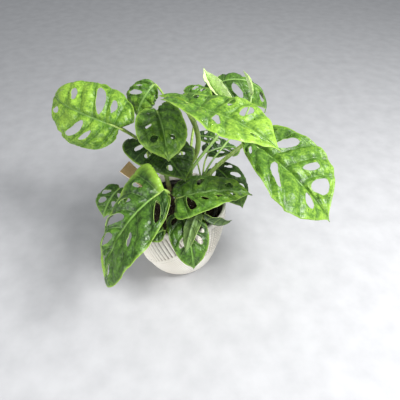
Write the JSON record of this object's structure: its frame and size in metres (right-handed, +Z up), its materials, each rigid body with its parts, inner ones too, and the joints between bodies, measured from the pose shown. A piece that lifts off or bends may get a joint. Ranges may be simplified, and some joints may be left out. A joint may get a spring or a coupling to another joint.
{
  "type": "potted houseplant",
  "caption": "Bushy potted monstera adansonii: heart-shaped leaves with oval holes on long stalks, arching and trailing over a cream cover pot.",
  "frame": {"origin": "middle of the cover pot's flat foot, on the surface it stands on", "axes": "+Z up; -Y is the front, the side the picture was taken from; +X is the viewer's right"},
  "size_m": [0.3975, 0.3074, 0.2923],
  "materials": {
    "glaze": "matt",
    "grower_plastic": "matt",
    "soil": "rough",
    "card": "matt",
    "stem": "satin",
    "leaf": "glossy",
    "young_leaf": "satin"
  },
  "bodies": {
    "root": {"cover_pot": "glaze", "grower_pot": "grower_plastic", "soil": "soil", "label": "card", "stem_left": "stem", "stem_front": "stem", "stem_right": "stem", "stem_back": "stem", "stem_rear_left": "stem", "leaf_far_left": "leaf", "leaf_back_left": "leaf", "leaf_centre_left": "leaf", "leaf_centre_low": "leaf", "leaf_front_left": "leaf", "leaf_front_right": "leaf", "leaf_far_right": "leaf", "leaf_top": "leaf", "leaf_back_right": "leaf", "leaf_mid_back": "leaf", "leaf_new": "young_leaf", "leaf_bud": "young_leaf", "leaf_inner": "leaf", "leaf_rear_right": "leaf", "leaf_right_low": "leaf", "leaf_left_low": "leaf", "leaf_over_rim": "leaf", "leaf_pale_back": "leaf", "leaf_rim_left": "leaf", "leaf_rim_right": "leaf", "leaf_rear_left": "leaf"}
  },
  "joints": []
}
